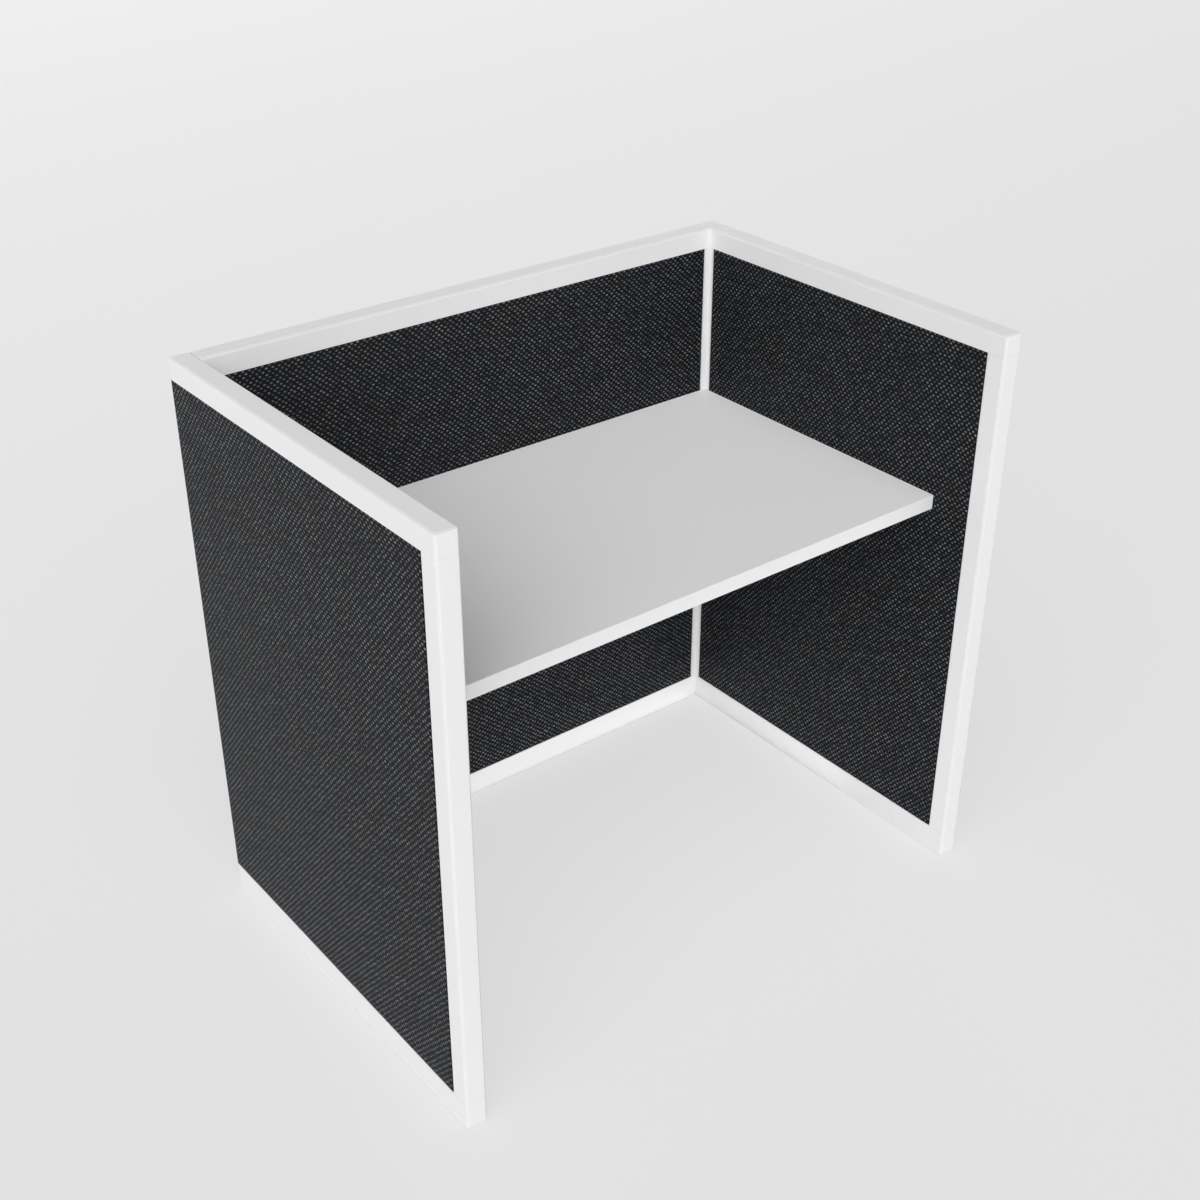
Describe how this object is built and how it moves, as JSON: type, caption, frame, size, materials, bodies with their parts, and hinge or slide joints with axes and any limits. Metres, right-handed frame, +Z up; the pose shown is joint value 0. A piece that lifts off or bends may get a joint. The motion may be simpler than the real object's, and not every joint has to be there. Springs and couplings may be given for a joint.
{
  "type": "cubicle workstation",
  "caption": "Open-fronted office cubicle with fabric-faced panels in rounded white frames on the sides and back, and a white worktop hung between them at desk height",
  "frame": {"origin": "Centre of the footprint, on the floor plane under the bottom rails", "axes": "+X to the right for someone sitting at the open front, +Y from the open front to the back panel, +Z up"},
  "size_m": [1.2, 0.8, 1.12],
  "materials": {
    "frame_paint": "white powder coat on steel tube, satin",
    "tile_fabric": "woven charcoal panel cloth with pale grey flecks",
    "tile_board": "raw medium density fibreboard",
    "core_wool": "mineral wool batt",
    "cross_rail_steel": "galvanised",
    "fastener_steel": "zinc plated",
    "clip_nylon": "black moulded nylon",
    "worktop_laminate": "white melamine on particle board, fine matt",
    "worktop_band": "white edge band",
    "bracket_paint": "white powder coat on steel angle",
    "foot_steel": "zinc plated"
  },
  "bodies": {
    "workstation": {"left_top_rail": "frame_paint", "left_bottom_rail": "frame_paint", "right_top_rail": "frame_paint", "right_bottom_rail": "frame_paint", "back_top_rail": "frame_paint", "back_bottom_rail": "frame_paint", "left_front_stile": "frame_paint", "left_rear_stile": "frame_paint", "right_front_stile": "frame_paint", "right_rear_stile": "frame_paint", "back_left_stile": "frame_paint", "back_right_stile": "frame_paint", "left_outer_fabric": "tile_fabric", "left_inner_fabric": "tile_fabric", "right_outer_fabric": "tile_fabric", "right_inner_fabric": "tile_fabric", "back_outer_fabric": "tile_fabric", "back_inner_fabric": "tile_fabric", "left_outer_board": "tile_board", "left_inner_board": "tile_board", "right_outer_board": "tile_board", "right_inner_board": "tile_board", "back_outer_board": "tile_board", "back_inner_board": "tile_board", "left_acoustic_core": "core_wool", "right_acoustic_core": "core_wool", "back_acoustic_core": "core_wool", "left_cross_rail": "cross_rail_steel", "right_cross_rail": "cross_rail_steel", "back_cross_rail": "cross_rail_steel", "left_nut_plates": "fastener_steel", "right_nut_plates": "fastener_steel", "back_nut_plates": "fastener_steel", "left_frame_bolts": "fastener_steel", "right_frame_bolts": "fastener_steel", "back_frame_bolts": "fastener_steel", "left_cross_rail_screws": "fastener_steel", "right_cross_rail_screws": "fastener_steel", "back_cross_rail_screws": "fastener_steel", "worktop_wood_screws": "fastener_steel", "bracket_bolts": "fastener_steel", "bracket_rivet_nuts": "fastener_steel", "corner_bolts": "fastener_steel", "corner_rivet_nuts": "fastener_steel", "left_tile_clips": "clip_nylon", "right_tile_clips": "clip_nylon", "back_tile_clips": "clip_nylon", "foot_sockets": "clip_nylon", "worktop_board": "worktop_laminate", "worktop_front_band": "worktop_band", "left_worktop_bracket": "bracket_paint", "right_worktop_bracket": "bracket_paint", "rear_worktop_bracket": "bracket_paint"},
    "left_front_foot_glide": {"left_front_foot": "foot_steel"},
    "left_rear_foot_glide": {"left_rear_foot": "foot_steel"},
    "right_front_foot_glide": {"right_front_foot": "foot_steel"},
    "right_rear_foot_glide": {"right_rear_foot": "foot_steel"},
    "back_left_foot_glide": {"back_left_foot": "foot_steel"},
    "back_right_foot_glide": {"back_right_foot": "foot_steel"}
  },
  "joints": [
    {"name": "left_front_foot_screw", "type": "slide", "parent": "workstation", "child": "left_front_foot_glide", "axis": [0, 0, -1], "range_m": [0, 0.02]},
    {"name": "left_rear_foot_screw", "type": "slide", "parent": "workstation", "child": "left_rear_foot_glide", "axis": [0, 0, -1], "range_m": [0, 0.02]},
    {"name": "right_front_foot_screw", "type": "slide", "parent": "workstation", "child": "right_front_foot_glide", "axis": [0, 0, -1], "range_m": [0, 0.02]},
    {"name": "right_rear_foot_screw", "type": "slide", "parent": "workstation", "child": "right_rear_foot_glide", "axis": [0, 0, -1], "range_m": [0, 0.02]},
    {"name": "back_left_foot_screw", "type": "slide", "parent": "workstation", "child": "back_left_foot_glide", "axis": [0, 0, -1], "range_m": [0, 0.02]},
    {"name": "back_right_foot_screw", "type": "slide", "parent": "workstation", "child": "back_right_foot_glide", "axis": [0, 0, -1], "range_m": [0, 0.02]}
  ]
}
